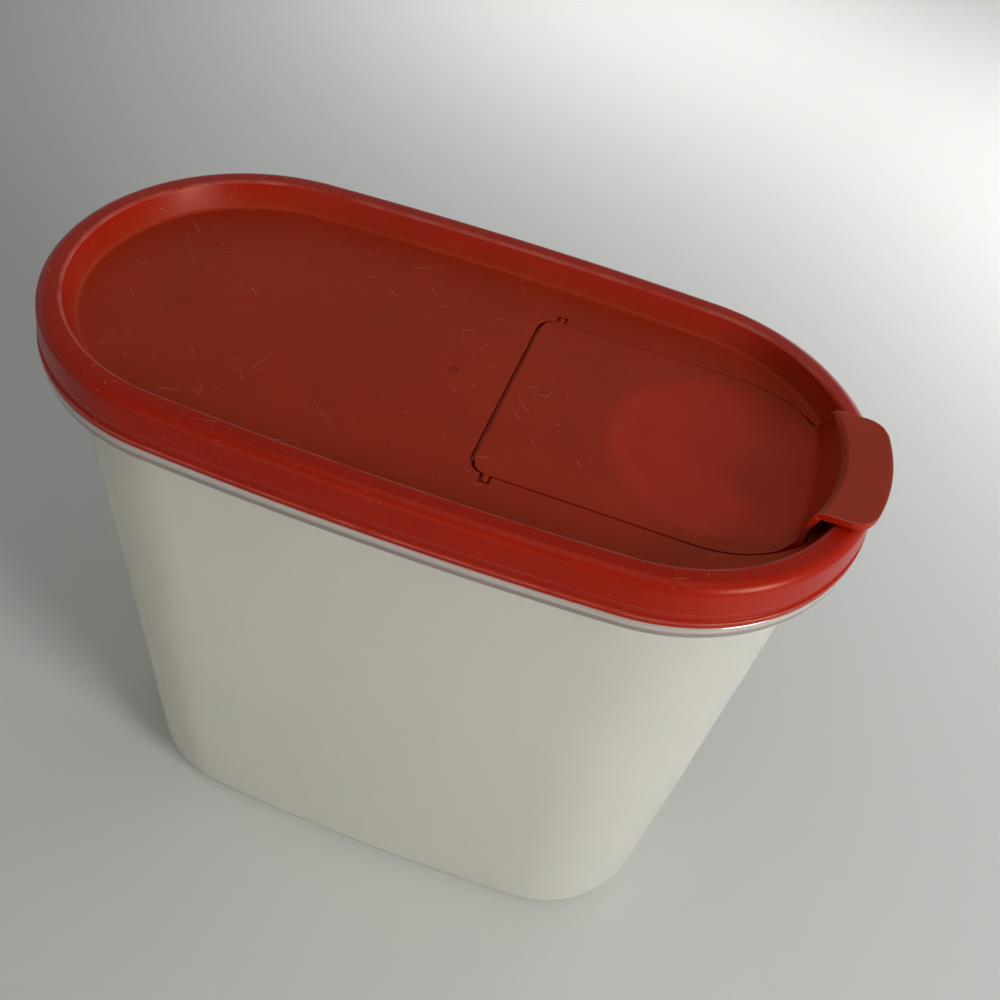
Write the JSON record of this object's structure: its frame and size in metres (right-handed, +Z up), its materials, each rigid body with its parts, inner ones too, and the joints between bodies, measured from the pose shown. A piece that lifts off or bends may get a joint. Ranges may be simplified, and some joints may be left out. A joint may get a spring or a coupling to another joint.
{
  "type": "food storage keeper with pour flap",
  "caption": "Tall oval translucent food keeper with a red press-on seal, a sunk stacking panel and a hinged pour flap with a thumb tab.",
  "frame": {"origin": "centre of the tub's base, on the surface that it stands on", "axes": "+X along the oval towards the pour flap's thumb tab, +Y across the oval, +Z up"},
  "size_m": [0.2396, 0.1226, 0.2322],
  "materials": {
    "tub_plastic": "milky translucent polypropylene, satin outside, polished flange",
    "seal_plastic": "red polyethylene, satin moulded, lightly scratched by use",
    "flap_plastic": "red polyethylene, satin moulded, lightly scratched by use"
  },
  "bodies": {
    "tub": {"container": "tub_plastic"},
    "lid": {"seal": "seal_plastic"},
    "flap": {"pour_flap": "flap_plastic"}
  },
  "joints": [
    {"name": "seal_lift", "type": "slide", "parent": "tub", "child": "lid", "axis": [0, 0, 1], "range_m": [0, 0.12]},
    {"name": "flap_hinge", "type": "hinge", "parent": "lid", "child": "flap", "pos_m": [0.0212, 0, 0.2196], "axis": [0, -1, 0], "range_deg": [0, 120]}
  ]
}
